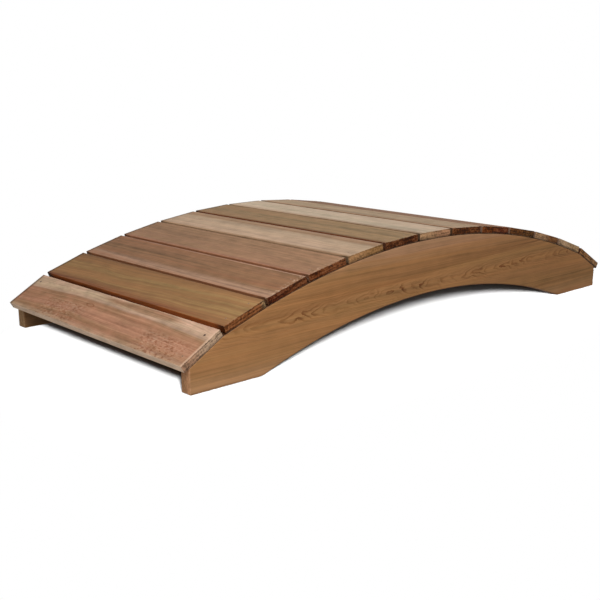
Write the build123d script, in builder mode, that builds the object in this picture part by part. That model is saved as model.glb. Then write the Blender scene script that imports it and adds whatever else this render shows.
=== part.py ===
"""A low garden moon bridge: two arched side boards that carry a deck of flat planks.

Millimetres. X runs along the walk, Y across it and Z up, with the origin on the ground at mid-span.
"""

import os
from math import cos, radians, sin, sqrt

from build123d import *

# Deck planks, sawn from one stock section
plank_length = 914.0  # across the walk
plank_width = 140.0  # along the walk
plank_thickness = 22.0
plank_gap = 9.5  # open joint between neighbours, at the underside
plank_edge_radius = 3.0  # eased long edges
plank_end_radius = 1.4  # lightly eased sawn ends
curve_plank_count = 11  # odd, so that one plank lies over the crown

# Side boards, each sawn from one wide board
board_thickness = 38.0
crown_radius = 2220.0  # top curve, under the deck
crown_depth = 164.0  # timber at mid-span, between the top curve and the underside curve
foot_length = 231.5  # flat bearing on the ground at each end
heel_radius = 90.0  # soft corner between a foot and the underside curve
end_face_height = 70.5  # upright face at each end of a board
board_edge_radius = 4.0  # eased edges all round both faces

# Seats between the planks and the side boards
end_extra_slope = 11.1  # degrees that an end plank leans more than the curve plank beside it
end_overhang = 14.5  # how far an end plank's lower edge stands past the end of the boards
seat_gap = 0.1  # clearance under every plank

# Deck layout about the centre of the crown curve, on the side where X is positive
half_width = plank_width / 2
pitch_angle = (plank_width + plank_gap) / crown_radius
last_turn = pitch_angle * (curve_plank_count - 1) / 2
end_slope = last_turn + radians(end_extra_slope)
end_joint_slope = (last_turn + end_slope) / 2


def along(slope):
    """Unit direction down the deck, in XZ, where the deck falls by this slope."""
    return Vector(cos(slope), 0, -sin(slope))


def outward(slope):
    """Unit direction out of the deck, in XZ, where the deck falls by this slope."""
    return Vector(sin(slope), 0, cos(slope))


last_corner = outward(last_turn) * (crown_radius + seat_gap) + along(last_turn) * half_width
end_inner_corner = last_corner + along(end_joint_slope) * plank_gap
end_outer_corner = end_inner_corner + along(end_slope) * plank_width
end_seat_start = end_inner_corner - outward(end_slope) * seat_gap

# Where a board's end seat leaves the crown curve, and where its upright end face cuts it off
seat_run = end_seat_start.dot(along(end_slope))
seat_clear = end_seat_start.dot(end_seat_start) - crown_radius**2
seat_corner = end_seat_start - along(end_slope) * (seat_run + sqrt(seat_run**2 - seat_clear))
board_half_length = end_outer_corner.X - end_overhang
end_seat_length = (board_half_length - end_seat_start.X) / cos(end_slope)
end_seat_stop = end_seat_start + along(end_slope) * end_seat_length

# The ground is as far below the end seat as the upright end face is tall
centre_height = end_face_height - end_seat_stop.Z
curve_centre = Vector(0, 0, centre_height)
crown_height = centre_height + crown_radius
arch_rise = crown_height - crown_depth
heel = board_half_length - foot_length
board_half_spacing = (plank_length - board_thickness) / 2  # outer faces flush with the plank ends


def seat_plane(seat_middle, slope):
    """Plane on the underside of a plank, with its own X down the deck."""
    return Plane(origin=curve_centre + seat_middle, x_dir=along(slope), z_dir=outward(slope))


def plank_planes():
    """Seat of every plank in order along the walk, from the end where X is negative."""
    end_middle = (end_inner_corner + end_outer_corner) / 2
    mirrored_middle = Vector(-end_middle.X, 0, end_middle.Z)
    planes = [seat_plane(mirrored_middle, -end_slope)]
    for step in range(curve_plank_count):
        turn = pitch_angle * step - last_turn
        planes.append(seat_plane(outward(turn) * (crown_radius + seat_gap), turn))
    planes.append(seat_plane(end_middle, end_slope))
    return planes


def make_plank(seat, name):
    """One deck plank, with eased long edges and lightly eased ends."""
    with BuildPart(seat) as plank:
        Box(plank_width, plank_length, plank_thickness, align=(Align.CENTER, Align.CENTER, Align.MIN))
        fillet(plank.edges().filter_by(Axis.Y), radius=plank_edge_radius)
        fillet(plank.faces().filter_by(Axis.Y).edges(), radius=plank_end_radius)
    plank.part.label = name
    return plank.part


def make_side_board(middle_y, name):
    """One arched side board, standing on the flat foot at each of its ends."""
    corner = curve_centre + seat_corner
    with BuildPart() as board:
        with BuildSketch(Plane.XZ.offset(-middle_y)) as side:
            with BuildLine():
                ThreePointArc((-corner.X, corner.Z), (0, crown_height), (corner.X, corner.Z))
                Polyline(
                    (corner.X, corner.Z),
                    (board_half_length, end_face_height),
                    (board_half_length, 0),
                    (heel, 0),
                )
                ThreePointArc((heel, 0), (0, arch_rise), (-heel, 0))
                Polyline(
                    (-heel, 0),
                    (-board_half_length, 0),
                    (-board_half_length, end_face_height),
                    (-corner.X, corner.Z),
                )
            make_face()
            heels = side.vertices().group_by(Axis.Y)[0].sort_by(Axis.X)[1:-1]
            fillet(heels, radius=heel_radius)
        extrude(amount=board_thickness / 2, both=True)
        fillet(board.faces().filter_by(Axis.Y).edges(), radius=board_edge_radius)
    board.part.label = name
    return board.part


pieces = [
    make_side_board(-board_half_spacing, "right_side_board"),
    make_side_board(board_half_spacing, "left_side_board"),
]
for number, seat in enumerate(plank_planes(), start=1):
    pieces.append(make_plank(seat, f"plank_{number:02d}"))

os.makedirs("parts", exist_ok=True)
for piece in pieces:
    export_step(piece, f"parts/{piece.label}.step")

overall_length = 2 * (end_outer_corner + outward(end_slope) * plank_thickness).X
print(f"board {2 * board_half_length:.1f} long, {crown_height:.1f} deep, arch rise {arch_rise:.1f}")
print(f"overall length {overall_length:.1f}, height {crown_height + seat_gap + plank_thickness:.1f}")
print(f"foot from {heel:.1f} to {board_half_length:.1f}, side boards at y {board_half_spacing:.1f}")
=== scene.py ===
import math

import bpy
from mathutils import Matrix, Vector


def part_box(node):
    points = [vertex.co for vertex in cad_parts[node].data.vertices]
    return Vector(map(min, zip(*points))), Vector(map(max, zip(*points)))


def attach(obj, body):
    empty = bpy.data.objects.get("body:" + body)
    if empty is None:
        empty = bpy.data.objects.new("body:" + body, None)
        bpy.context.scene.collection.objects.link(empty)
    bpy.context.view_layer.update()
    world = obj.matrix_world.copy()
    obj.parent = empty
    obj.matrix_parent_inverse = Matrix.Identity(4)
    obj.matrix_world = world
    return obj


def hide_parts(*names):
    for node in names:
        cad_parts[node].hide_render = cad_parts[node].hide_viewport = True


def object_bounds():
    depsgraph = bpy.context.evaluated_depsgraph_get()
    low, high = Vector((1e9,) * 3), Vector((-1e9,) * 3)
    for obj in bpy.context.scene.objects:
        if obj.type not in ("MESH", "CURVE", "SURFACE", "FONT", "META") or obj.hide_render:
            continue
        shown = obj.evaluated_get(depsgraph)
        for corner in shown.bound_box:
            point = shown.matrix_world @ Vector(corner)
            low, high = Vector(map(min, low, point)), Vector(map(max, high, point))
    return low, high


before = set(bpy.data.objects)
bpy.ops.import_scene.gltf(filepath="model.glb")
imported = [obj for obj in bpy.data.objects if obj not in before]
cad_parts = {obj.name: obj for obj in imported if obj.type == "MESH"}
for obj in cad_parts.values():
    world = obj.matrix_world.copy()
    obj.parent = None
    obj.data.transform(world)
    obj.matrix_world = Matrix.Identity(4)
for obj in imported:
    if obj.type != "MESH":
        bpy.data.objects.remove(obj)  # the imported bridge, metres, ground at z 0
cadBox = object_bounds()
scene = bpy.context.scene
scene.view_settings.view_transform = "Standard"
print("frame loaded,", len(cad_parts), "timber nodes")


# small helpers for building node trees

def wire(tree, node, values):  # values by socket index or name; a socket is linked, anything else is set
    pairs = values.items() if isinstance(values, dict) else enumerate(values)
    for key, value in pairs:
        if isinstance(value, bpy.types.NodeSocket):
            tree.links.new(value, node.inputs[key])
        else:
            node.inputs[key].default_value = value
    return node


def put(tree, kind, values=(), **settings):
    node = tree.nodes.new(kind)
    for key, value in settings.items():
        setattr(node, key, value)
    return wire(tree, node, values)


def calc(tree, operation, *values):
    return put(tree, "ShaderNodeMath", values, operation=operation).outputs[0]


def plus(tree, first, second):
    return calc(tree, "ADD", first, second)


def minus(tree, first, second):
    return calc(tree, "SUBTRACT", first, second)


def times(tree, first, second):
    return calc(tree, "MULTIPLY", first, second)


def timesPlus(tree, first, second, third):
    return calc(tree, "MULTIPLY_ADD", first, second, third)


def vec(tree, operation, *values):
    node = put(tree, "ShaderNodeVectorMath", values, operation=operation)
    return node.outputs["Value" if operation in ("LENGTH", "DOT_PRODUCT") else "Vector"]


def scaled(tree, vector, factor):
    values = {0: vector, "Scale": factor}
    return put(tree, "ShaderNodeVectorMath", values, operation="SCALE").outputs["Vector"]


def xyz(tree, x=0.0, y=0.0, z=0.0):
    return put(tree, "ShaderNodeCombineXYZ", (x, y, z)).outputs[0]


def parts(tree, vector):
    return put(tree, "ShaderNodeSeparateXYZ", (vector,)).outputs


def ease(tree, value, low, high):  # 0 at low and 1 at high, smooth between; low may be the larger
    values = (value, low, high, 0.0, 1.0)
    return put(tree, "ShaderNodeMapRange", values, interpolation_type="SMOOTHSTEP").outputs[0]


def lifted(tree, share, least):  # a share of 0 to 1, drawn up so that it starts at least
    return timesPlus(tree, share, 1.0 - least, least)


def bell(tree, value):  # 1 at zero, falling away on both sides
    return calc(tree, "EXPONENT", times(tree, times(tree, value, value), -1.0))


def blendTone(tree, amount, first, second, mode="MIX"):
    node = put(tree, "ShaderNodeMix", data_type="RGBA", blend_type=mode)
    return wire(tree, node, {0: amount, 6: first, 7: second}).outputs[2]


def noise(tree, vector, seed, detail=2.0, rough=0.5):
    node = put(tree, "ShaderNodeTexNoise", noise_dimensions="4D")
    values = {"Vector": vector, "W": seed, "Scale": 1.0, "Detail": detail, "Roughness": rough}
    return wire(tree, node, values).outputs


def aboutZero(tree, texture):  # a noise's values lie about a half
    return minus(tree, texture["Fac"], 0.5)


def floats(*labels):
    return dict.fromkeys(labels, "Float")


def newTree(name, kind, inputs, outputs):
    tree = bpy.data.node_groups.new(name, kind)
    for label, socket in inputs.items():
        tree.interface.new_socket(label, in_out="INPUT", socket_type="NodeSocket" + socket)
    for label, socket in outputs.items():
        tree.interface.new_socket(label, in_out="OUTPUT", socket_type="NodeSocket" + socket)
    return tree, tree.nodes.new("NodeGroupInput").outputs, tree.nodes.new("NodeGroupOutput")


def useTree(tree, group, values):
    return put(tree, "GeometryNodeGroup", values, node_tree=group).outputs


def growPiece(name, tree, values, start=None):  # runs a geometry tree and keeps the plain mesh it gives
    piece = bpy.data.objects.new(name, start or bpy.data.meshes.new(name))
    scene.collection.objects.link(piece)
    modifier = piece.modifiers.new(name, "NODES")
    modifier.node_group = tree
    sockets = {item.name: item.identifier for item in tree.interface.items_tree if item.in_out == "INPUT"}
    for label, value in values.items():
        modifier[sockets[label]] = value
    depsgraph = bpy.context.evaluated_depsgraph_get()
    mesh = bpy.data.meshes.new_from_object(
        piece.evaluated_get(depsgraph), preserve_all_data_layers=True, depsgraph=depsgraph
    )
    piece.modifiers.remove(modifier)
    mesh.name = name
    piece.data = mesh
    return piece


def tone(red, green, blue):  # screen colour, 0 to 255, to what a shader socket takes
    def straight(value):
        value /= 255
        return value / 12.92 if value <= 0.04045 else ((value + 0.055) / 1.055) ** 2.4
    return (straight(red), straight(green), straight(blue), 1.0)


def newMaterial(name):
    material = bpy.data.materials.new(name)
    material.use_nodes = True
    return material, material.node_tree


# sawn cedar, worked out through the whole thickness so that faces, edges and ends agree

plainWood = {  # a piece with nothing special about it; planks and boards change what they need
    "Pith Across": 0.18, "Pith Through": -0.06, "Lean Across": 0.01, "Taper": 0.0, "Ring Width": 0.0028,
    "Wander": 0.012, "Crease": 0.0, "Ripple": 0.0006, "Ripple Patch": 0.0, "Figure Wave": 0.0,
    "Figure Reach": 1.0, "Ring Contrast": 0.4, "Line Contrast": 0.25,
    "Grain Wave": 0.015, "Grain Bow": 0.0, "Bow At": 0.0,
    "Knot Across": 9.0, "Knot Along": 9.0, "Knot Size": 0.01, "Knot Stretch": 2.4, "Knot Tone": (120, 78, 50),
    "Eye Contrast": 0.0, "Eye Along": 0.0, "Eye Every": 1.0,
    "Heart At": 0.0, "Heart Lean": 0.0, "Heart Reach": 0.02, "Heart Contrast": 0.0,
    "Heart Tone": (110, 70, 46), "Front": (150, 112, 82), "Front At": -0.2, "Front Soft": 0.01,
    "Back": (150, 112, 82), "Back At": 0.2, "Back Soft": 0.01, "Band Wave": 0.012,
    "Lens Middle": Vector((9.0, 9.0, 0.0)), "Lens Half": Vector((1.0, 1.0, 1.0)),
    "Fibre Contrast": 1.0, "Vein Contrast": 1.2, "Fleck Contrast": 0.4, "Broad Contrast": 1.0, "Mottle": 0.6,
    "Streak Amount": 0.7, "Cast Amount": 0.5, "Tone And Light Drift": 0.0, "Far Shade": 0.5, "Corner Shade": 0.55,
    "Edge Wear And Highlight": 0.5, "End Wear And Highlight": 0.0, "End Rim Highlight": 0.0,
    "End At": 0.0, "End Soft": 0.03, "End Contrast": 1.0, "Seat Shade": 0.5,
}
ownTones = ("Light", "Streak", "Late", "Side", "Back Side", "End Front", "End Back")  # each piece has its own
grainMarks = {  # repeats in a metre across and along the fibres, then the noise's detail and roughness
    "sway": (4.0, 1.1, 2.0, 0.5), "ripple": (52.0, 20.0, 3.0, 0.5), "patch": (11.0, 4.0, 2.0, 0.5),
    "figure": (22.0, 10.0, 2.0, 0.5), "fibre": (430.0, 3.2, 3.0, 0.62), "vein": (105.0, 1.4, 2.0, 0.55),
    "broad": (24.0, 0.9, 1.0, 0.5), "cast": (28.0, 0.9, 2.0, 0.5), "line": (38.0, 0.55, 1.0, 0.5),
    "thread": (9.0, 1.3, 2.0, 0.5), "mottle": (34.0, 20.0, 3.0, 0.5), "border": (7.0, 3.2, 2.0, 0.5),
    "grit": (190.0, 190.0, 2.0, 0.5), "blotch": (48.0, 48.0, 3.0, 0.6), "fleck": (190.0, 30.0, 2.0, 0.5),
    "eye": (230.0, 95.0, 2.0, 0.5), "wear": (170.0, 60.0, 2.0, 0.5), "speck": (120.0, 120.0, 2.0, 0.5),
}


def socketKind(value):
    if isinstance(value, tuple):
        return "Color"
    return "Vector" if isinstance(value, Vector) else "Float"


def grainNoise(tree, given, mark):
    across, along, detail, rough = grainMarks[mark]
    stretched = vec(tree, "MULTIPLY", given["Grain"], (across, along, across))
    return noise(tree, stretched, given["Seed"], detail, rough)


def swing(tree, given, mark):  # the same, about zero
    return aboutZero(tree, grainNoise(tree, given, mark))


ringSet = {
    "creaseWidth": 0.003, "patch": (0.44, 0.58), "unevenScale": 55.0, "uneven": 2.2, "lateRise": (0.35, 0.9),
    "lateDrop": (1.0, 0.93), "faintest": 0.35, "patchLeast": 0.3, "figureLeast": 0.18,
}


def growthRings(tree, given, ripple, knotShare):  # share of dark late wood, and how much of it a face shows
    across, along, through = parts(tree, given["Grain"])
    sway = vec(tree, "SUBTRACT", grainNoise(tree, given, "sway")["Color"], (0.5, 0.5, 0.5))
    swayAcross, swayThrough, _ = parts(tree, sway)
    fromAcross = minus(tree, across, timesPlus(tree, along, given["Lean Across"], given["Pith Across"]))
    fromAcross = timesPlus(tree, swayAcross, given["Wander"], fromAcross)
    fromThrough = timesPlus(tree, swayThrough, given["Wander"], minus(tree, through, given["Pith Through"]))
    radius = vec(tree, "LENGTH", xyz(tree, fromAcross, fromThrough))
    creased = vec(tree, "LENGTH", xyz(tree, fromAcross, ringSet["creaseWidth"]))
    radius = timesPlus(tree, creased, given["Crease"], radius)
    radius = timesPlus(tree, along, given["Taper"], radius)
    radius = timesPlus(tree, swing(tree, given, "figure"), given["Figure Wave"], radius)
    patch = ease(tree, grainNoise(tree, given, "patch")["Fac"], *ringSet["patch"])
    rippled = timesPlus(tree, minus(tree, patch, 1.0), given["Ripple Patch"], 1.0)
    radius = timesPlus(tree, times(tree, ripple, rippled), given["Ripple"], radius)
    radius = timesPlus(tree, bell(tree, knotShare), given["Knot Size"], radius)

    stretched = xyz(tree, times(tree, radius, ringSet["unevenScale"]))
    uneven = noise(tree, stretched, given["Seed"], detail=1.0)["Fac"]
    rings = timesPlus(tree, uneven, ringSet["uneven"], calc(tree, "DIVIDE", radius, given["Ring Width"]))
    ringPart = calc(tree, "FRACT", rings)
    ringNumber = plus(tree, calc(tree, "FLOOR", rings), given["Seed"])
    strength = put(tree, "ShaderNodeTexWhiteNoise", {"W": ringNumber}, noise_dimensions="1D").outputs["Value"]
    late = times(tree, ease(tree, ringPart, *ringSet["lateRise"]), ease(tree, ringPart, *ringSet["lateDrop"]))
    late = times(tree, late, lifted(tree, strength, ringSet["faintest"]))

    # the figure shows most along the pith line, where the saw runs flat to the rings
    shown = bell(tree, calc(tree, "DIVIDE", fromAcross, given["Figure Reach"]))
    shown = times(tree, shown, lifted(tree, patch, ringSet["patchLeast"]))
    return late, times(tree, late, lifted(tree, shown, ringSet["figureLeast"]))


lineSet = {"width": (0.06, 0.0), "shown": (0.48, 0.64), "heartEdge": (-0.004, 0.003)}


def darkLines(tree, given):  # a few long dark growth lines, here and there
    line = ease(tree, calc(tree, "ABSOLUTE", swing(tree, given, "line")), *lineSet["width"])
    return times(tree, line, ease(tree, grainNoise(tree, given, "thread")["Fac"], *lineSet["shown"]))


def heartLine(tree, given):  # one long growth line, sharp on its lower side and fading above
    across, along, _ = parts(tree, given["Grain"])
    above = minus(tree, across, timesPlus(tree, along, given["Heart Lean"], given["Heart At"]))
    fading = calc(tree, "EXPONENT", calc(tree, "DIVIDE", times(tree, above, -1.0), given["Heart Reach"]))
    return times(tree, calc(tree, "MINIMUM", fading, 1.0), ease(tree, above, *lineSet["heartEdge"]))


knotSet = {
    "uneven": 1.3, "body": (0.95, 0.55), "bodyAmount": 0.8,
    "rimRise": (0.5, 0.8), "rimDrop": (1.2, 0.85), "rimAmount": 0.65,
}


def knotReach(tree, given, ripple):  # 0 at a knot's middle, 1 at its rim
    across, along, _ = parts(tree, given["Grain"])
    knotAlong = calc(tree, "DIVIDE", minus(tree, along, given["Knot Along"]), given["Knot Stretch"])
    reach = vec(tree, "LENGTH", xyz(tree, minus(tree, across, given["Knot Across"]), knotAlong))
    return timesPlus(tree, ripple, knotSet["uneven"], calc(tree, "DIVIDE", reach, given["Knot Size"]))


def knotTones(tree, given, colour, knotShare):
    body = ease(tree, knotShare, *knotSet["body"])
    rim = times(tree, ease(tree, knotShare, *knotSet["rimRise"]), ease(tree, knotShare, *knotSet["rimDrop"]))
    colour = blendTone(tree, times(tree, body, knotSet["bodyAmount"]), colour, given["Knot Tone"])
    return blendTone(tree, times(tree, rim, knotSet["rimAmount"]), colour, given["Late"])


bandSet = {"lensWave": 2.0, "lensReach": (0.6, 1.2), "lensLeast": 0.15}


def bandTones(tree, given, colour):  # other wood along the front and back edges
    across = parts(tree, given["Straight"])[0]
    wave = swing(tree, given, "border")
    front = calc(tree, "DIVIDE", minus(tree, given["Front At"], across), given["Front Soft"])
    colour = blendTone(tree, ease(tree, front, -1.0, 1.0), colour, given["Front"])
    border = timesPlus(tree, wave, given["Band Wave"], plus(tree, across, given["Bowed"]))
    back = calc(tree, "DIVIDE", minus(tree, border, given["Back At"]), given["Back Soft"])
    # a lens of face wood within the back band
    fromLens = vec(tree, "SUBTRACT", given["Straight"], given["Lens Middle"])
    fromLens = vec(tree, "DIVIDE", fromLens, given["Lens Half"])
    lens = vec(tree, "LENGTH", vec(tree, "MULTIPLY", fromLens, (1.0, 1.0, 0.0)))
    lens = ease(tree, timesPlus(tree, wave, bandSet["lensWave"], lens), *bandSet["lensReach"])
    lens = lifted(tree, lens, bandSet["lensLeast"])
    return blendTone(tree, times(tree, ease(tree, back, -1.0, 1.0), lens), colour, given["Back"])


eyeSet = {
    "patch": (-0.2, 0.9), "frontHalf": (0.02, -0.005),
    "dark": (0.53, 0.63), "pale": (0.46, 0.36), "paleAmount": 0.4,
}


def birdsEyes(tree, given, colour):  # small eyes where the grain curls, in patches
    across, along, _ = parts(tree, given["Grain"])
    turn = calc(tree, "DIVIDE", minus(tree, along, given["Eye Along"]), given["Eye Every"])
    patch = ease(tree, calc(tree, "COSINE", times(tree, turn, 2 * math.pi)), *eyeSet["patch"])
    patch = times(tree, patch, ease(tree, across, *eyeSet["frontHalf"]))
    patch = times(tree, patch, given["Eye Contrast"])
    eyes = grainNoise(tree, given, "eye")["Fac"]
    dark = times(tree, patch, ease(tree, eyes, *eyeSet["dark"]))
    pale = times(tree, times(tree, patch, ease(tree, eyes, *eyeSet["pale"])), eyeSet["paleAmount"])
    return blendTone(tree, pale, blendTone(tree, dark, colour, given["Late"]), given["Back"])


endSet = {
    "layerScale": (26.0, 3.0, 230.0), "borderWave": 0.03, "specks": (0.36, 0.66), "base": 0.8,
    "lateAmount": -0.3, "speckAmount": 0.6, "layerAmount": 2.4, "blotchAmount": 1.2,
    "darkest": 0.3, "brightest": 1.5,
    "lowSeat": (-0.003, -0.0095), "highSeat": (0.006, 0.0105), "highSeatAmount": 0.6,
    "pale": (150, 114, 84), "paleReach": (1.1, 1.9), "paleAmount": 0.2,
}


def endGrain(tree, given, late):  # sawn ends: darker, gritty, with the rings as bands
    across, _, through = parts(tree, given["Grain"])
    blotch = swing(tree, given, "blotch")
    layered = vec(tree, "MULTIPLY", given["Grain"], endSet["layerScale"])
    layer = aboutZero(tree, noise(tree, layered, given["Seed"]))
    grit = grainNoise(tree, given, "grit")["Fac"]
    specks = ease(tree, grit, *endSet["specks"])
    border = minus(tree, timesPlus(tree, blotch, endSet["borderWave"], across), given["End At"])
    border = ease(tree, calc(tree, "DIVIDE", border, given["End Soft"]), -1.0, 1.0)
    colour = blendTone(tree, border, given["End Front"], given["End Back"])
    shade = endSet["base"]
    for mark, amount in ((late, "late"), (specks, "speck"), (layer, "layer"), (blotch, "blotch")):
        shade = timesPlus(tree, mark, endSet[amount + "Amount"], shade)
    shade = timesPlus(tree, minus(tree, shade, 1.0), given["End Contrast"], 1.0)
    shade = calc(tree, "MAXIMUM", shade, endSet["darkest"])
    seat = times(tree, ease(tree, through, *endSet["highSeat"]), endSet["highSeatAmount"])
    seat = plus(tree, ease(tree, through, *endSet["lowSeat"]), seat)  # darker along its lower and upper edges
    shade = times(tree, shade, timesPlus(tree, seat, times(tree, given["Seat Shade"], -1.0), 1.0))
    pale = times(tree, ease(tree, shade, *endSet["paleReach"]), endSet["paleAmount"])
    colour = scaled(tree, colour, calc(tree, "MINIMUM", shade, endSet["brightest"]))
    return blendTone(tree, pale, colour, tone(*endSet["pale"])), grit


# the pale tone serves both rubbed wear and painted highlight along rounded edges
wearAndHighlightSet = {
    "tone": (200, 168, 142), "spots": (0.4, 0.62), "endEdge": (0.05, 0.4), "least": 0.15,
    "topEdge": (0.1, 0.4), "nearEnd": (0.432, 0.457), "specks": (0.55, 0.66), "rim": (-0.4485, -0.4535),
}


def wornAndHighlitEdges(tree, given, along, endways, flatways, offEnd):  # pale edges and ends: wear, and painted highlight on rounded edges
    spots = ease(tree, grainNoise(tree, given, "wear")["Fac"], *wearAndHighlightSet["spots"])
    rubbedAndLit = lifted(tree, ease(tree, endways, *wearAndHighlightSet["endEdge"]), wearAndHighlightSet["least"])
    rubbedAndLit = times(tree, rubbedAndLit, ease(tree, flatways, *wearAndHighlightSet["topEdge"]))
    wornAndHighlit = times(tree, times(tree, times(tree, spots, rubbedAndLit), given["Edge"]), given["Edge Wear And Highlight"])
    nearEnd = ease(tree, calc(tree, "ABSOLUTE", along), *wearAndHighlightSet["nearEnd"])
    specks = ease(tree, grainNoise(tree, given, "speck")["Fac"], *wearAndHighlightSet["specks"])
    specks = times(tree, specks, times(tree, nearEnd, offEnd))
    wornAndHighlit = calc(tree, "MAXIMUM", wornAndHighlit, times(tree, specks, given["End Wear And Highlight"]))
    # a pale rim along the near end: painted highlight of the rounded end edge
    rim = times(tree, ease(tree, along, *wearAndHighlightSet["rim"]), offEnd)
    return calc(tree, "MAXIMUM", wornAndHighlit, times(tree, rim, given["End Rim Highlight"]))


cedarSet = {
    "streakVein": 1.5, "streakBroad": 1.6, "streak": (-0.12, 0.34),
    "castMottle": 0.6, "cast": (0.3, 0.7),
    "greenCast": (0.96, 1.02, 0.94, 1.0), "pinkCast": (1.06, 0.97, 1.0, 1.0),
    "farReach": (0.440, 0.450), "cornerReach": (0.41, 0.452),
    "backward": (0.0, 0.3), "sideways": (0.45, 0.85), "endways": (0.4, 0.85),
    "rough": 0.68, "fibreRough": 0.16, "lateRough": -0.1, "gloss": 0.06,
    "fibreHeight": 0.7, "lateHeight": 0.5, "gritHeight": 0.9, "bumpStrength": 0.4, "bumpDistance": 0.0005,
}


def makeCedarTree():
    inputs = {"Grain": "Vector", "Facing": "Vector", **floats("Edge", "Seed")}  # across, along and through
    inputs.update({label: socketKind(value) for label, value in plainWood.items()})
    inputs.update(dict.fromkeys(ownTones, "Color"))
    outputs = {"Color": "Color", "Roughness": "Float", "Height": "Float"}
    tree, sockets, result = newTree("cedarTree", "ShaderNodeTree", inputs, outputs)
    given = {socket.name: socket for socket in sockets}
    given["Straight"] = given["Grain"]  # before the fibres bow and wave
    along = parts(tree, given["Straight"])[1]
    fromBow = minus(tree, along, given["Bow At"])
    given["Bowed"] = times(tree, times(tree, fromBow, fromBow), given["Grain Bow"])
    waved = timesPlus(tree, swing(tree, given, "border"), given["Grain Wave"], given["Bowed"])
    given["Grain"] = vec(tree, "ADD", given["Straight"], xyz(tree, waved))
    ripple = swing(tree, given, "ripple")
    knotShare = knotReach(tree, given, ripple)
    late, figure = growthRings(tree, given, ripple, knotShare)
    fibre, vein, broad = [swing(tree, given, mark) for mark in ("fibre", "vein", "broad")]

    # tones of a face
    colour = bandTones(tree, given, given["Light"])
    streak = timesPlus(tree, vein, cedarSet["streakVein"], times(tree, broad, cedarSet["streakBroad"]))
    streak = times(tree, ease(tree, streak, *cedarSet["streak"]), given["Streak Amount"])
    colour = blendTone(tree, streak, colour, given["Streak"])
    mottle = times(tree, swing(tree, given, "mottle"), given["Mottle"])
    cast = timesPlus(tree, mottle, cedarSet["castMottle"], grainNoise(tree, given, "cast")["Fac"])
    cast = blendTone(tree, ease(tree, cast, *cedarSet["cast"]), cedarSet["greenCast"], cedarSet["pinkCast"])
    colour = blendTone(tree, given["Cast Amount"], colour, cast, "MULTIPLY")
    for mark, amount, label in (
        (figure, "Ring Contrast", "Late"),
        (darkLines(tree, given), "Line Contrast", "Late"),
        (heartLine(tree, given), "Heart Contrast", "Heart Tone"),
    ):
        colour = blendTone(tree, times(tree, mark, given[amount]), colour, given[label])
    colour = birdsEyes(tree, given, colour)
    colour = knotTones(tree, given, colour, knotShare)

    # light and dark along the fibres
    shade = 1.0
    fleck = swing(tree, given, "fleck")
    for name, mark in (("Fibre", fibre), ("Vein", vein), ("Fleck", fleck), ("Broad", broad)):
        shade = timesPlus(tree, mark, given[name + " Contrast"], shade)
    # the steady change of shade along a piece is partly its own tone and partly painted light and shade,
    # evening out how the key lamp's light falls off along it
    shade = timesPlus(tree, along, given["Tone And Light Drift"], plus(tree, shade, mottle))
    farEnd = times(tree, ease(tree, along, *cedarSet["farReach"]), given["Far Shade"])
    shade = times(tree, shade, minus(tree, 1.0, farEnd))
    colour = scaled(tree, colour, shade)

    # sawn long edges and ends
    sideways, endways, flatways = parts(tree, vec(tree, "ABSOLUTE", given["Facing"]))
    # for the side boards the upward faces take the back colour: painted shade, with some dirt, where the
    # planks sit on them
    backward = ease(tree, parts(tree, given["Facing"])[0], *cedarSet["backward"])
    corner = ease(tree, calc(tree, "ABSOLUTE", along), *cedarSet["cornerReach"])
    sideShade = times(tree, shade, minus(tree, 1.0, times(tree, corner, given["Corner Shade"])))
    sideColour = scaled(tree, blendTone(tree, backward, given["Side"], given["Back Side"]), sideShade)
    colour = blendTone(tree, ease(tree, sideways, *cedarSet["sideways"]), colour, sideColour)
    end = ease(tree, endways, *cedarSet["endways"])
    endColour, grit = endGrain(tree, given, late)
    colour = blendTone(tree, end, colour, endColour)
    # pale edges and specks: partly wear, partly painted highlight
    wornAndHighlit = wornAndHighlitEdges(tree, given, along, endways, flatways, minus(tree, 1.0, end))
    colour = blendTone(tree, wornAndHighlit, colour, tone(*wearAndHighlightSet["tone"]))

    rough = timesPlus(tree, fibre, cedarSet["fibreRough"], cedarSet["rough"])
    rough = timesPlus(tree, late, cedarSet["lateRough"], rough)
    height = timesPlus(tree, fibre, cedarSet["fibreHeight"], times(tree, late, cedarSet["lateHeight"]))
    height = timesPlus(tree, times(tree, grit, end), cedarSet["gritHeight"], height)
    wire(tree, result, {"Color": colour, "Roughness": rough, "Height": height})
    return tree


cedarTree = makeCedarTree()


def makeCedar(name, wood):
    material, tree = newMaterial(name)
    cedar = put(tree, "ShaderNodeGroup", node_tree=cedarTree)
    for label, output in (("Grain", "Vector"), ("Facing", "Vector"), ("Edge", "Fac")):
        attribute = put(tree, "ShaderNodeAttribute", attribute_name=label.lower())
        wire(tree, cedar, {label: attribute.outputs[output]})
    for label, value in wood.items():
        cedar.inputs[label].default_value = tone(*value) if isinstance(value, tuple) else value
    bump = put(tree, "ShaderNodeBump", {
        "Strength": cedarSet["bumpStrength"], "Distance": cedarSet["bumpDistance"],
        "Height": cedar.outputs["Height"],
    })
    wire(tree, tree.nodes["Principled BSDF"], {
        "Base Color": cedar.outputs["Color"], "Roughness": cedar.outputs["Roughness"],
        "Normal": bump.outputs[0], "Specular IOR Level": cedarSet["gloss"],
    })
    return material


# a block with eased edges: the loops near each edge are pulled onto an arc

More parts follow.
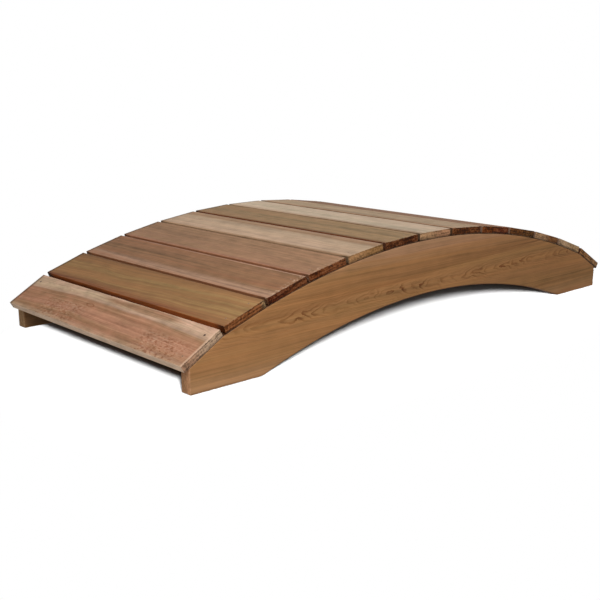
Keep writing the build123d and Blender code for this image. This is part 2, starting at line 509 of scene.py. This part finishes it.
def makeEasedBlock():
    inputs = dict.fromkeys(("Grid", "Half Size", "Radius", "Segments"), "Vector")
    inputs["Edge Segments"] = "Float"
    outputs = {"Position": "Vector", "Edge": "Float"}
    tree, given, result = newTree("easedBlock", "GeometryNodeTree", inputs, outputs)
    half, radius, segments = given["Half Size"], given["Radius"], given["Segments"]
    edgeSegments = xyz(tree, given["Edge Segments"], given["Edge Segments"], given["Edge Segments"])
    zero, one = (0.0, 0.0, 0.0), (1.0, 1.0, 1.0)

    def limited(value):
        return vec(tree, "MINIMUM", vec(tree, "MAXIMUM", value, zero), one)

    step = vec(tree, "MULTIPLY", vec(tree, "ADD", given["Grid"], (0.5, 0.5, 0.5)), segments)
    entry = limited(vec(tree, "DIVIDE", step, edgeSegments))
    leave = limited(vec(tree, "DIVIDE", vec(tree, "SUBTRACT", segments, step), edgeSegments))
    flatSegments = vec(tree, "SUBTRACT", segments, vec(tree, "ADD", edgeSegments, edgeSegments))
    middle = limited(vec(tree, "DIVIDE", vec(tree, "SUBTRACT", step, edgeSegments), flatSegments))
    inset = vec(tree, "SUBTRACT", half, radius)
    place = vec(tree, "MULTIPLY", radius, vec(tree, "SUBTRACT", entry, leave))
    place = vec(tree, "MULTIPLY_ADD", vec(tree, "ADD", inset, inset), middle, place)
    place = vec(tree, "SUBTRACT", place, inset)
    core = vec(tree, "MAXIMUM", vec(tree, "MINIMUM", place, inset), vec(tree, "SUBTRACT", zero, inset))
    reach = vec(tree, "DIVIDE", vec(tree, "SUBTRACT", place, core), radius)
    eased = vec(tree, "MULTIPLY_ADD", vec(tree, "NORMALIZE", reach), radius, core)
    amount = vec(tree, "DOT_PRODUCT", vec(tree, "ABSOLUTE", reach), one)
    wire(tree, result, {"Position": eased, "Edge": minus(tree, amount, 1.0)})
    return tree


easedBlock = makeEasedBlock()


def blockGrid(tree, segments):  # a cube cut into rows, for an eased block
    countX, countY, countZ = segments
    counts = {"Vertices X": countX + 1, "Vertices Y": countY + 1, "Vertices Z": countZ + 1}
    return put(tree, "GeometryNodeMeshCube", counts).outputs["Mesh"]


def keepAttribute(tree, geometry, name, kind, value):
    node = put(tree, "GeometryNodeStoreNamedAttribute", data_type=kind, domain="POINT")
    return wire(tree, node, {"Geometry": geometry, "Name": name, "Value": value}).outputs[0]


def keepGrain(tree, geometry, order):  # where each point lies in the timber and which way it faces
    for name, source in (("grain", "GeometryNodeInputPosition"), ("facing", "GeometryNodeInputNormal")):
        axes = parts(tree, put(tree, source).outputs[0])
        ordered = xyz(tree, *[axes[axis] for axis in order])
        geometry = keepAttribute(tree, geometry, name, "FLOAT_VECTOR", ordered)
    return geometry


def shifted(tree, geometry, offset, **more):
    values = {"Geometry": geometry, "Translation": offset, **more}
    return put(tree, "GeometryNodeTransform", values).outputs[0]


def copies(tree, points, piece, **more):  # one copy at each point, as plain mesh
    values = {"Points": points, "Instance": piece, **more}
    placed = put(tree, "GeometryNodeInstanceOnPoints", values).outputs[0]
    return put(tree, "GeometryNodeRealizeInstances", (placed,)).outputs[0]


def cutAway(tree, whole, cutter):
    cut = put(tree, "GeometryNodeMeshBoolean", operation="DIFFERENCE", solver="EXACT")
    return wire(tree, cut, {"Mesh 1": whole, "Mesh 2": cutter}).outputs["Mesh"]


def softShading(tree, geometry, sharpAngle):
    smooth = put(tree, "GeometryNodeSetShadeSmooth", {0: geometry, "Shade Smooth": True}, domain="FACE")
    angle = put(tree, "GeometryNodeInputMeshEdgeAngle").outputs["Unsigned Angle"]
    sharp = put(tree, "FunctionNodeCompare", (angle, sharpAngle), data_type="FLOAT", operation="GREATER_THAN")
    values = {0: smooth.outputs[0], "Selection": sharp.outputs[0], "Shade Smooth": False}
    return put(tree, "GeometryNodeSetShadeSmooth", values, domain="EDGE").outputs[0]


def finishTree(tree, given, result, geometry, sharpAngle):
    whole = put(tree, "GeometryNodeRealizeInstances", (softShading(tree, geometry, sharpAngle),)).outputs[0]
    dressed = put(tree, "GeometryNodeSetMaterial", {"Geometry": whole, "Material": given["Material"]})
    tree.links.new(dressed.outputs[0], result.inputs["Mesh"])
    return tree


# deck planks

plankSet = {
    "segments": (24, 96, 10), "edgeSegments": 4, "sharpAngle": math.radians(32), "sinkSides": 20,
    "shapeSeed": 3.7, "woodSeed": 7.3, "cup": 0.0008,
    "waveScale": (9.0, 3.0, 0.0), "sawScale": (14.0, 1.5, 9.0), "sawPower": 8.0,
    "sizes": {
        "Edge Radius": 0.002, "End Radius": 0.0014, "Wave": 0.0008, "End Saw": 0.0016,
        "Screw From End": 0.0285, "Screw From Edge": 0.030,
        "Sink Top": 0.0037, "Sink Tip": 0.0012, "Sink Depth": 0.0030, "Sink Rise": 0.001,
    },
}


def makePlankTree():
    inputs = floats("Length", "Width", "Thickness", "Cup", "Seed", "Slope", *plankSet["sizes"])
    inputs.update({"Middle": "Vector", "Material": "Material"})
    tree, given, result = newTree("plankTree", "GeometryNodeTree", inputs, {"Mesh": "Geometry"})
    eased = useTree(tree, easedBlock, {
        "Grid": put(tree, "GeometryNodeInputPosition").outputs[0],
        "Half Size": scaled(tree, xyz(tree, given["Width"], given["Length"], given["Thickness"]), 0.5),
        "Radius": xyz(tree, given["Edge Radius"], given["End Radius"], given["Edge Radius"]),
        "Segments": plankSet["segments"], "Edge Segments": plankSet["edgeSegments"],
    })
    edged = keepAttribute(tree, blockGrid(tree, plankSet["segments"]), "edge", "FLOAT", eased["Edge"])

    # a little cup across, slow waves along and an uneven saw cut at the ends
    def uneven(frequency):
        stretched = vec(tree, "MULTIPLY", eased["Position"], frequency)
        return aboutZero(tree, noise(tree, stretched, given["Seed"]))

    x, y, z = parts(tree, eased["Position"])
    acrossShare = calc(tree, "DIVIDE", x, given["Width"])
    lift = times(tree, times(tree, acrossShare, acrossShare), given["Cup"])
    lift = timesPlus(tree, uneven(plankSet["waveScale"]), given["Wave"], lift)
    endShare = calc(tree, "ABSOLUTE", calc(tree, "DIVIDE", times(tree, y, 2.0), given["Length"]))
    push = times(tree, uneven(plankSet["sawScale"]), calc(tree, "POWER", endShare, plankSet["sawPower"]))
    push = times(tree, push, given["End Saw"])
    moved = xyz(tree, x, plus(tree, y, push), plus(tree, z, lift))
    shaped = put(tree, "GeometryNodeSetPosition", {"Geometry": edged, "Position": moved})

    # countersunk seats for two screws at each end
    grid = put(tree, "GeometryNodeMeshGrid", {
        "Vertices X": 2, "Vertices Y": 2,
        "Size X": timesPlus(tree, given["Screw From Edge"], -2.0, given["Width"]),
        "Size Y": timesPlus(tree, given["Screw From End"], -2.0, given["Length"]),
    })
    cone = put(tree, "GeometryNodeMeshCone", {
        "Vertices": plankSet["sinkSides"], "Depth": plus(tree, given["Sink Depth"], given["Sink Rise"]),
        "Radius Top": given["Sink Top"], "Radius Bottom": given["Sink Tip"],
    })
    onTop = timesPlus(tree, given["Thickness"], 0.5, times(tree, given["Sink Depth"], -1.0))
    raised = shifted(tree, grid.outputs["Mesh"], xyz(tree, z=onTop))
    cutters = copies(tree, raised, cone.outputs["Mesh"])

    grained = keepGrain(tree, cutAway(tree, shaped.outputs[0], cutters), (0, 1, 2))
    placed = shifted(tree, grained, given["Middle"], Rotation=xyz(tree, y=given["Slope"]))
    return finishTree(tree, given, result, placed, plankSet["sharpAngle"])


def plankPlace(node):  # slope, sizes and middle of a CAD plank, read from its mesh
    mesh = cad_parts[node].data
    top = max((face for face in mesh.polygons if face.normal.z > 0), key=lambda face: face.area)
    slope = math.atan2(top.normal.x, top.normal.z)
    down = Vector((math.cos(slope), 0.0, -math.sin(slope)))
    out = Vector((math.sin(slope), 0.0, math.cos(slope)))
    span = {}
    for label, axis in (("Width", down), ("Thickness", out), ("Length", Vector((0.0, 1.0, 0.0)))):
        reach = [vertex.co.dot(axis) for vertex in mesh.vertices]
        span[label] = (max(reach) - min(reach), (max(reach) + min(reach)) / 2)
    sizes = {label: value[0] for label, value in span.items()}
    middle = down * span["Width"][1] + out * span["Thickness"][1] + Vector((0.0, span["Length"][1], 0.0))
    return {"slope": slope, "down": down, "out": out, "middle": middle, "sizes": sizes}


def faceTones(light, streak, late, side):
    return {"Light": light, "Streak": streak, "Late": late, "Side": side}


cedarTones = {  # faces and edges of each kind of cedar
    "rose_cedar": faceTones((147, 113, 86), (138, 102, 80), (104, 66, 46), (108, 60, 40)),
    "gold_cedar": faceTones((144, 110, 72), (112, 76, 48), (92, 56, 30), (108, 56, 32)),
    "brown_cedar": faceTones((136, 101, 74), (118, 82, 58), (92, 58, 38), (104, 62, 42)),
    "straw_cedar": {
        **faceTones((184, 159, 134), (170, 142, 116), (138, 104, 78), (136, 106, 80)),
        "Fleck Contrast": 0.25, "Vein Contrast": 0.6, "Line Contrast": 0.06, "Cast Amount": 0.3,
    },
    "tan_cedar": faceTones((165, 141, 115), (148, 122, 97), (112, 84, 62), (116, 84, 60)),
}
farSide = (160, 126, 104)  # front edges of the planks beyond the crown
deckPlan = [  # from the front end back
    {
        # this plank's back screws get painted shade, as if their heads sat deep in their holes
        "slot": "rose_cedar", "backScrewShade": 1.0, "Light": (147, 107, 81), "Streak": (163, 126, 99),
        # the front long edge is far paler than the face: painted light making up for the key lamp not
        # reaching it
        "Late": (122, 74, 50), "Side": (216, 187, 160), "Tone And Light Drift": 0.02, "Corner Shade": 0.0,
        "Front": (166, 136, 112), "Front At": -0.06, "Front Soft": 0.01,
        "Back": (187, 156, 132), "Back At": 0.039, "Back Soft": 0.015, "Band Wave": 0.018,
        "Lens Middle": Vector((0.056, -0.115, 0.0)), "Lens Half": Vector((0.0135, 0.17, 1.0)),
        "Pith Across": -0.01, "Pith Through": -0.12, "Ring Width": 0.005, "Ripple": 0.03, "Ripple Patch": 0.9,
        "Grain Wave": 0.03, "Grain Bow": 0.066, "Ring Contrast": 0.22, "Line Contrast": 0.0,
        "Heart At": 0.036, "Heart Reach": 0.006, "Heart Contrast": 0.5, "Heart Tone": (206, 174, 152),
        "Knot Across": 0.016, "Knot Along": 0.091, "Knot Size": 0.006, "Knot Stretch": 3.6,
        "Knot Tone": (152, 110, 82), "Eye Contrast": 0.7, "Eye Along": 0.2, "Eye Every": 0.52,
        "Vein Contrast": 0.5, "Broad Contrast": 0.4, "Mottle": 0.8, "Streak Amount": 0.55, "Cast Amount": 1.0,
        "Edge Wear And Highlight": 1.0, "End Rim Highlight": 0.6, "End Front": (138, 105, 82), "End Back": (150, 124, 101),
    },
    {
        "slot": "gold_cedar", "Light": (138, 109, 70), "Streak": (107, 77, 49), "Side": (131, 71, 32),
        "Tone And Light Drift": -0.2, "Corner Shade": 0.8, "Front": (116, 72, 48), "Front At": -0.048, "Front Soft": 0.018,
        "Back": (119, 86, 58), "Back At": 0.054, "Back Soft": 0.014,
        "Grain Wave": 0.05, "Grain Bow": 0.035, "Bow At": -0.45, "Line Contrast": 0.08,
        "Heart At": 0.027, "Heart Reach": 0.009, "Heart Contrast": 0.4, "Heart Tone": (150, 119, 78),
        "Fibre Contrast": 1.2, "Vein Contrast": 1.6, "Broad Contrast": 3.0, "Streak Amount": 0.9,
        "Cast Amount": 0.15, "Edge Wear And Highlight": 0.3, "End Contrast": 1.6, "End At": 0.046, "End Soft": 0.008,
        "End Front": (106, 62, 32), "End Back": (134, 106, 74),
    },
    {
        "slot": "brown_cedar", "Side": (154, 104, 71), "Front": (165, 130, 106), "Front At": -0.038,
        # the back band is only a thin strip at the very back edge: painted highlight of the rounded edge
        "Front Soft": 0.011, "Back": (174, 136, 114), "Back At": 0.0635, "Back Soft": 0.0025,
        "Line Contrast": 0.12, "Vein Contrast": 1.5, "Broad Contrast": 1.2, "Cast Amount": 0.3,
        "End Wear And Highlight": 0.8, "End Contrast": 1.6, "End Front": (70, 29, 9), "End Back": (86, 45, 20),
    },
    {
        "slot": "rose_cedar", "Side": (154, 104, 74), "Front": (150, 108, 86), "Front At": -0.062,
        "Line Contrast": 0.1, "Vein Contrast": 0.7, "Broad Contrast": 0.25, "Streak Amount": 0.4,
        "Cast Amount": 0.25, "End Wear And Highlight": 0.7, "End Contrast": 1.5, "End Front": (82, 40, 13),
        "End Back": (102, 58, 31),
    },
    {
        "slot": "straw_cedar", "Light": (181, 154, 129), "Side": (160, 128, 98), "Tone And Light Drift": 0.2,
        "Front": (148, 116, 88), "Front At": -0.063, "Front Soft": 0.004,
        "Back": (150, 120, 93), "Back At": 0.036, "Back Soft": 0.010, "Broad Contrast": 0.5,
        "Streak Amount": 0.45, "End Front": (144, 106, 70), "End Back": (117, 84, 49),
    },
    {
        "slot": "brown_cedar", "Light": (147, 120, 88), "Streak": (128, 100, 70), "Front": (114, 84, 58),
        "Front At": -0.060, "Front Soft": 0.009, "Line Contrast": 0.1, "Broad Contrast": 1.3,
        "End Wear And Highlight": 0.4, "End Contrast": 2.0, "End Front": (70, 33, 8), "End Back": (68, 31, 5),
    },
    {
        "slot": "straw_cedar", "Light": (196, 175, 151), "Streak": (183, 160, 135), "Tone And Light Drift": 0.4,
        "Front": (166, 140, 114), "Front At": -0.056, "Front Soft": 0.012,
        "Back": (181, 163, 142), "Back At": 0.04, "Back Soft": 0.02, "Broad Contrast": 0.7,
        "End Front": (146, 112, 80), "End Back": (146, 106, 77),
    },
    {
        "slot": "tan_cedar", "Light": (178, 151, 123), "Streak": (160, 132, 105), "Tone And Light Drift": 0.3,
        "Front": (170, 137, 107), "Front At": -0.052, "Broad Contrast": 1.1, "Mottle": 0.7,
        "End Contrast": 2.2, "End Front": (78, 38, 8), "End Back": (80, 40, 9),
    },
    {
        "slot": "brown_cedar", "Side": farSide, "End Contrast": 1.8,
        "End Front": (95, 46, 10), "End Back": (78, 33, 9),
    },
    {
        "slot": "gold_cedar", "Side": farSide, "End Contrast": 2.0,
        "End Front": (83, 46, 14), "End Back": (78, 47, 16),
    },
    {"slot": "tan_cedar", "Side": farSide, "End Front": (148, 114, 82), "End Back": (108, 69, 37)},
    {"slot": "straw_cedar", "Side": farSide, "End Front": (155, 126, 97), "End Back": (149, 119, 85)},
    {
        "slot": "brown_cedar", "Seat Shade": 0.8, "End Contrast": 2.0, "End Front": (128, 88, 52),
        "End Back": (124, 91, 60),
    },
]

plankTree = makePlankTree()
screwSeats = []
for number, own in enumerate(deckPlan, start=1):
    node = f"plank_{number:02d}"
    place = plankPlace(node)
    wood = {**plainWood, **cedarTones[own["slot"]], **own, "Seed": number * plankSet["woodSeed"]}
    wood.setdefault("Back Side", wood["Side"])
    wood.pop("slot")
    backShade = wood.pop("backScrewShade", 0.0)
    sizes = {**place["sizes"], **plankSet["sizes"]}
    plank = growPiece(f"deckPlank{number:02d}", plankTree, {
        **sizes, "Cup": plankSet["cup"] * (-1) ** number, "Seed": number * plankSet["shapeSeed"],
        "Slope": place["slope"], "Middle": place["middle"],
        "Material": makeCedar(f"cedarPlank{number:02d}", wood),
    })
    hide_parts(node)
    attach(plank, "root")
    for side in (-1, 1):
        for end in (-1, 1):
            seat = place["middle"] + place["out"] * sizes["Thickness"] / 2
            seat += place["down"] * side * (sizes["Width"] / 2 - sizes["Screw From Edge"])
            seat.y += end * (sizes["Length"] / 2 - sizes["Screw From End"])
            screwSeats.append((seat, place["out"], backShade if side > 0 else 0.0))
print("deck planks made,", len(deckPlan))


# side boards

boardSet = {
    "segments": (320, 10, 28), "edgeSegments": 4, "sharpAngle": math.radians(50),
    "crownDepth": 0.164, "footLength": 0.2315,
    "sizes": {
        "Edge Radius": 0.004, "Crown Radius": 2.220, "Heel Blend": 0.006, "End Face Height": 0.0705,
        "End Slope": math.radians(30.39),
    },
}


def makeBoardTree():
    inputs = floats("Half Length", "Thickness", "Crown Height", "Arch Rise", "Heel", *boardSet["sizes"])
    inputs.update({"Middle": "Vector", "Material": "Material"})
    tree, given, result = newTree("boardTree", "GeometryNodeTree", inputs, {"Mesh": "Geometry"})
    position = put(tree, "GeometryNodeInputPosition").outputs[0]
    halfThickness = times(tree, given["Thickness"], 0.5)

    def easedFor(halfHeight):
        return useTree(tree, easedBlock, {
            "Grid": position, "Half Size": xyz(tree, given["Half Length"], halfThickness, halfHeight),
            "Radius": xyz(tree, given["Edge Radius"], given["Edge Radius"], given["Edge Radius"]),
            "Segments": boardSet["segments"], "Edge Segments": boardSet["edgeSegments"],
        })

    along = parts(tree, easedFor(times(tree, given["Crown Height"], 0.5))["Position"])[0]

    def arc(circleRadius, top):  # height of a circle's top half at this place along the board
        square = minus(tree, times(tree, circleRadius, circleRadius), times(tree, along, along))
        return plus(tree, minus(tree, calc(tree, "SQRT", square), circleRadius), top)

    fromEnd = minus(tree, given["Half Length"], calc(tree, "ABSOLUTE", along))
    seat = timesPlus(tree, fromEnd, calc(tree, "TANGENT", given["End Slope"]), given["End Face Height"])
    top = calc(tree, "MINIMUM", arc(given["Crown Radius"], given["Crown Height"]), seat)
    heelSquare = times(tree, given["Heel"], given["Heel"])
    heelAndRise = timesPlus(tree, given["Arch Rise"], given["Arch Rise"], heelSquare)
    archRadius = calc(tree, "DIVIDE", heelAndRise, times(tree, given["Arch Rise"], 2.0))
    bottom = calc(tree, "SMOOTH_MAX", arc(archRadius, given["Arch Rise"]), 0.0, given["Heel Blend"])
    halfHeight = times(tree, minus(tree, top, bottom), 0.5)
    eased = easedFor(halfHeight)
    x, y, z = parts(tree, eased["Position"])
    raised = plus(tree, plus(tree, z, halfHeight), bottom)

    edged = keepAttribute(tree, blockGrid(tree, boardSet["segments"]), "edge", "FLOAT", eased["Edge"])
    shaped = put(tree, "GeometryNodeSetPosition", {"Geometry": edged, "Position": xyz(tree, x, y, raised)})
    grained = keepGrain(tree, shaped.outputs[0], (2, 0, 1))
    placed = shifted(tree, grained, given["Middle"])
    return finishTree(tree, given, result, placed, boardSet["sharpAngle"])


boardWood = {
    "Light": (143, 104, 66), "Streak": (128, 89, 53), "Late": (88, 48, 22), "Side": (124, 86, 58),
    # the back colour goes on the board's upper face under the plank ends: a dark painted shade in the seat,
    # with some dirt
    "Back Side": (58, 36, 22), "Tone And Light Drift": -0.08, "Far Shade": 0.0, "Corner Shade": 0.0,
    "Front": (155, 119, 84), "Front At": 0.03, "Front Soft": 0.03,
    "Back": (152, 115, 86), "Back At": 0.245, "Back Soft": 0.028, "Band Wave": 0.02,
    "Pith Across": 0.147, "Lean Across": 0.012, "Taper": -0.046, "Ring Width": 0.0024, "Wander": 0.009,
    "Crease": 0.08, "Ripple": 0.006, "Figure Wave": 0.012, "Figure Reach": 0.015, "Ring Contrast": 1.0,
    "Heart At": 0.181, "Heart Lean": 0.054, "Heart Reach": 0.026, "Heart Contrast": 0.3,
    "Heart Tone": (94, 54, 26), "Vein Contrast": 1.0, "Fleck Contrast": 0.1, "Mottle": 0.35,
    "Streak Amount": 0.5, "Cast Amount": 0.45, "Edge Wear And Highlight": 0.2, "End Contrast": 0.45, "Seat Shade": 0.0,
}
boardPlan = {
    "right": {"Seed": 2.4, "Pith Through": 0.07, "End Front": (172, 126, 90), "End Back": (172, 126, 90)},
    "left": {"Seed": 5.9, "Pith Through": -0.08, "End Front": (150, 117, 82), "End Back": (150, 117, 82)},
}
boardTree = makeBoardTree()
for side, own in boardPlan.items():
    node = side + "_side_board"
    low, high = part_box(node)
    halfLength = (high[0] - low[0]) / 2
    crownHeight = high[2]
    board = growPiece(side + "SideBoard", boardTree, {
        **boardSet["sizes"], "Half Length": halfLength, "Thickness": high[1] - low[1],
        "Crown Height": crownHeight, "Arch Rise": crownHeight - boardSet["crownDepth"],
        "Heel": halfLength - boardSet["footLength"], "Middle": (0.0, (low[1] + high[1]) / 2, 0.0),
        "Material": makeCedar(side + "BoardCedar", {**plainWood, **boardWood, **own}),
    })
    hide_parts(node)
    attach(board, "root")
print("side boards made")


# deck screws, square drive, flush with the planks

screwSet = {
    "sides": 20, "sharpAngle": math.radians(35), "seed": 4,
    # the last colour is painted shade for the first plank's back screws, standing in for heads sunk in their
    # holes
    "tone": (146, 114, 86), "tarnish": (122, 92, 68), "holeShade": (70, 46, 32),
    "tarnishScale": 420.0, "tarnishDetail": 3.0, "tarnishReach": (0.35, 0.7),
    "rough": 0.35, "tarnishRough": 0.3, "metallic": 0.35,
    "sizes": {
        "Head Radius": 0.0035, "Neck Radius": 0.0014, "Head Depth": 0.0022, "Below": 0.0001,
        "Drive": 0.0022, "Drive Depth": 0.0014,
    },
}


def makeScrewMaterial():
    material, tree = newMaterial("tanCoatedSteel")
    tarnish = put(tree, "ShaderNodeTexNoise", {
        "Vector": put(tree, "ShaderNodeTexCoord").outputs["Object"],
        "Scale": screwSet["tarnishScale"], "Detail": screwSet["tarnishDetail"],
    }).outputs["Fac"]
    spots = ease(tree, tarnish, *screwSet["tarnishReach"])
    # painted shade: the marked screws are darkened as if shaded by their holes
    holeShade = put(tree, "ShaderNodeAttribute", attribute_name="holeShade").outputs["Fac"]
    colour = blendTone(tree, spots, tone(*screwSet["tone"]), tone(*screwSet["tarnish"]))
    colour = blendTone(tree, holeShade, colour, tone(*screwSet["holeShade"]))
    rough = timesPlus(tree, tarnish, screwSet["tarnishRough"], screwSet["rough"])
    coat = {"Base Color": colour, "Roughness": rough, "Metallic": screwSet["metallic"]}
    wire(tree, tree.nodes["Principled BSDF"], coat)
    return material


def makeScrewTree():
    inputs = {"Seats": "Geometry", **floats(*screwSet["sizes"]), "Seed": "Int", "Material": "Material"}
    tree, given, result = newTree("screwTree", "GeometryNodeTree", inputs, {"Mesh": "Geometry"})
    head = put(tree, "GeometryNodeMeshCone", {
        "Vertices": screwSet["sides"], "Depth": given["Head Depth"],
        "Radius Top": given["Head Radius"], "Radius Bottom": given["Neck Radius"],
    })
    driveSize = xyz(tree, given["Drive"], given["Drive"], times(tree, given["Drive Depth"], 2.0))
    driver = put(tree, "GeometryNodeMeshCube", {"Size": driveSize}).outputs["Mesh"]
    driver = shifted(tree, driver, xyz(tree, z=given["Head Depth"]))
    driven = cutAway(tree, head.outputs["Mesh"], driver)
    drop = times(tree, plus(tree, given["Head Depth"], given["Below"]), -1.0)
    sunk = shifted(tree, driven, xyz(tree, z=drop))

    outward = put(tree, "GeometryNodeInputNamedAttribute", {"Name": "outward"}, data_type="FLOAT_VECTOR")
    outward = outward.outputs["Attribute"]
    upright = put(tree, "FunctionNodeAlignRotationToVector", {"Vector": outward}, axis="Z")
    turnRange = {2: 0.0, 3: math.pi / 2, "Seed": given["Seed"]}
    spin = put(tree, "FunctionNodeRandomValue", turnRange, data_type="FLOAT").outputs[1]
    spun = put(tree, "FunctionNodeAxisAngleToRotation", {"Axis": (0.0, 0.0, 1.0), "Angle": spin})
    turns = (upright.outputs[0], spun.outputs[0])
    turned = put(tree, "FunctionNodeRotateRotation", turns, rotation_space="LOCAL").outputs[0]
    whole = copies(tree, given["Seats"], sunk, Rotation=turned)
    return finishTree(tree, given, result, whole, screwSet["sharpAngle"])


seatMesh = bpy.data.meshes.new("screwSeats")
seatMesh.from_pydata([seat for seat, out, holeShade in screwSeats], [], [])
# each seat carries how much painted shade its screw gets
for name, kind in (("outward", "FLOAT_VECTOR"), ("holeShade", "FLOAT")):
    seatMesh.attributes.new(name, kind, "POINT")
for index, (seat, out, holeShade) in enumerate(screwSeats):
    seatMesh.attributes["outward"].data[index].vector = out
    seatMesh.attributes["holeShade"].data[index].value = holeShade
screws = growPiece("deckScrews", makeScrewTree(), {
    **screwSet["sizes"], "Seed": screwSet["seed"], "Material": makeScrewMaterial(),
}, start=seatMesh)
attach(screws, "root")
print("screws made,", len(screwSeats))


# soft studio light: a pale room, one large key lamp above the near side and a small one in front

lightSet = {
    "room": 0.4, "aim": (-0.1, -0.1, 0.1),
    "keyPlace": (-1.6, -2.3, 2.6), "keySize": 2.0, "keyPower": 105.0,
    "frontPlace": (-2.21, -2.53, 1.12), "frontSize": 0.32, "frontPower": 4.0,
}
pureWhite = (1.0, 1.0, 1.0, 1.0)

# pale floor: white to the camera where the front lamp lights it, with the bridge's shadow beneath it

floorSet = {
    "halfSize": 30.0, "bounce": 0.5, "white": 0.0174, "frontReach": 0.06, "frontSoft": 0.005,
    "shadowReach": (0.0, 0.4), "clearSide": (-0.5, 0.866, 0.0), "clearReach": (0.80, 0.86),
}


def makeFloor():
    half, bounce = floorSet["halfSize"], floorSet["bounce"]
    mesh = bpy.data.meshes.new("studioFloor")
    corners = [(-half, -half, 0), (half, -half, 0), (half, half, 0), (-half, half, 0)]
    mesh.from_pydata(corners, [], [(0, 1, 2, 3)])
    floor = bpy.data.objects.new("studioFloor", mesh)
    scene.collection.objects.link(floor)
    material, tree = newMaterial("paleFloor")
    tree.nodes.remove(tree.nodes["Principled BSDF"])

    def mixed(share, first, second):
        return put(tree, "ShaderNodeMixShader", (share, first, second)).outputs[0]

    position = put(tree, "ShaderNodeTexCoord").outputs["Object"]
    toFront = vec(tree, "SUBTRACT", lightSet["frontPlace"], position)
    forward = vec(tree, "NORMALIZE", toFront)
    fading = calc(tree, "DIVIDE", vec(tree, "DOT_PRODUCT", toFront, toFront), parts(tree, forward)[2])
    bright = times(tree, fading, floorSet["white"])  # as white far off as it is close by
    shown = put(tree, "ShaderNodeBsdfToon", {
        "Color": xyz(tree, bright, bright, bright), "Normal": forward,
        "Size": floorSet["frontReach"], "Smooth": floorSet["frontSoft"],
    }, component="DIFFUSE").outputs[0]
    plain = put(tree, "ShaderNodeBsdfDiffuse", {"Color": (bounce, bounce, bounce, 1.0)}).outputs[0]
    white = put(tree, "ShaderNodeEmission", {"Color": pureWhite, "Strength": 1.0}).outputs[0]
    outside = vec(tree, "SUBTRACT", vec(tree, "ABSOLUTE", position), (cadBox[1][0], cadBox[1][1], 0.0))
    outside = vec(tree, "LENGTH", vec(tree, "MAXIMUM", outside, (0.0, 0.0, 0.0)))
    beyond = ease(tree, outside, *floorSet["shadowReach"])  # no shadow far from the bridge or behind it
    behind = ease(tree, vec(tree, "DOT_PRODUCT", position, floorSet["clearSide"]), *floorSet["clearReach"])
    shown = mixed(calc(tree, "MAXIMUM", beyond, behind), shown, white)
    path = put(tree, "ShaderNodeLightPath").outputs
    mirrored = calc(tree, "MAXIMUM", path["Is Glossy Ray"], path["Is Transmission Ray"])
    surface = mixed(path["Is Camera Ray"], mixed(mirrored, plain, white), shown)
    below = put(tree, "ShaderNodeNewGeometry").outputs["Backfacing"]
    clear = put(tree, "ShaderNodeBsdfTransparent").outputs[0]
    wire(tree, tree.nodes["Material Output"], {"Surface": mixed(below, surface, clear)})
    mesh.materials.append(material)


makeFloor()


def makeLight():
    world = bpy.data.worlds.new("paleRoom")
    scene.world = world
    world.use_nodes = True
    tree = world.node_tree
    path = put(tree, "ShaderNodeLightPath").outputs
    seen = calc(tree, "MAXIMUM", path["Is Camera Ray"], path["Is Glossy Ray"])
    seen = calc(tree, "MAXIMUM", seen, path["Is Transmission Ray"])
    room = wire(tree, tree.nodes["Background"], {"Color": pureWhite, "Strength": lightSet["room"]})
    backdrop = put(tree, "ShaderNodeBackground", {"Color": pureWhite, "Strength": 1.0})
    mixed = put(tree, "ShaderNodeMixShader", (seen, room.outputs[0], backdrop.outputs[0]))
    wire(tree, tree.nodes["World Output"], {"Surface": mixed.outputs[0]})
    for name in ("key", "front"):
        lamp = bpy.data.lights.new(name + "Lamp", "AREA")
        lamp.shape = "DISK"
        lamp.size = lightSet[name + "Size"]
        lamp.energy = lightSet[name + "Power"]
        place = bpy.data.objects.new(name + "Lamp", lamp)
        place.location = lightSet[name + "Place"]
        place.rotation_euler = (Vector(lightSet["aim"]) - place.location).to_track_quat("-Z", "Y").to_euler()
        place.visible_camera = False
        scene.collection.objects.link(place)


makeLight()

cameraSet = {
    "place": (-2.1941, -2.2710, 0.7656), "aim": (-0.1370, 0.0, 0.0363), "roll": -0.26,
    "lens": 56.9, "sensor": 36.0,
}


def makeCamera():
    data = bpy.data.cameras.new("camera")
    data.sensor_width = cameraSet["sensor"]
    data.lens = cameraSet["lens"]
    camera = bpy.data.objects.new("camera", data)
    camera.location = cameraSet["place"]
    look = (Vector(cameraSet["aim"]) - camera.location).to_track_quat("-Z", "Y").to_matrix()
    camera.rotation_euler = (look @ Matrix.Rotation(math.radians(cameraSet["roll"]), 3, "Z")).to_euler()
    scene.collection.objects.link(camera)
    scene.camera = camera


makeCamera()
print("floor, light and camera made")
